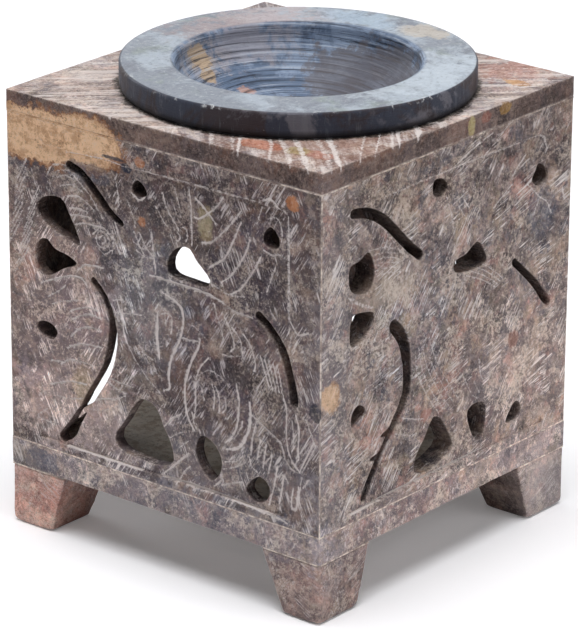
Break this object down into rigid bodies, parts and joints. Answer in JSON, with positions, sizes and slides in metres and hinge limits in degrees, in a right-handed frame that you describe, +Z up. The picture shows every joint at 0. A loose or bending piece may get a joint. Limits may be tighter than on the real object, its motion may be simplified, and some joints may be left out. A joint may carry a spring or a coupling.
{
  "type": "oil burner",
  "caption": "Square soapstone lantern with fret-sawn panels, four tapered feet and a loose dish over a tea-light chamber.",
  "frame": {"origin": "middle of the ground that the four feet stand on", "axes": "+Z up; the front panel faces -Y and the door panel with the arched opening faces -X"},
  "size_m": [0.076, 0.075, 0.0924],
  "materials": {
    "soapstone_brown": "rubbed and waxed, with pale tool scratches",
    "soapstone_foot": "rubbed, with saw marks",
    "soapstone_blue": "turned and polished",
    "joint_cement": "matte stone dust and resin"
  },
  "bodies": {
    "burner": {"base_plate": "soapstone_brown", "front_panel": "soapstone_brown", "right_panel": "soapstone_brown", "back_panel": "soapstone_brown", "door_panel": "soapstone_brown", "top_plate": "soapstone_brown", "foot_front_left": "soapstone_foot", "foot_front_right": "soapstone_foot", "foot_back_right": "soapstone_foot", "foot_back_left": "soapstone_foot", "cement_base": "joint_cement", "cement_top": "joint_cement", "cement_corner_front_left": "joint_cement", "cement_corner_front_right": "joint_cement", "cement_corner_back_right": "joint_cement", "cement_corner_back_left": "joint_cement", "cement_foot_front_left": "joint_cement", "cement_foot_front_right": "joint_cement", "cement_foot_back_right": "joint_cement", "cement_foot_back_left": "joint_cement"},
    "dish": {"dish": "soapstone_blue"}
  },
  "joints": [
    {"name": "dish_lift", "type": "slide", "parent": "burner", "child": "dish", "axis": [0, 0, 1], "range_m": [0, 0.04]}
  ]
}
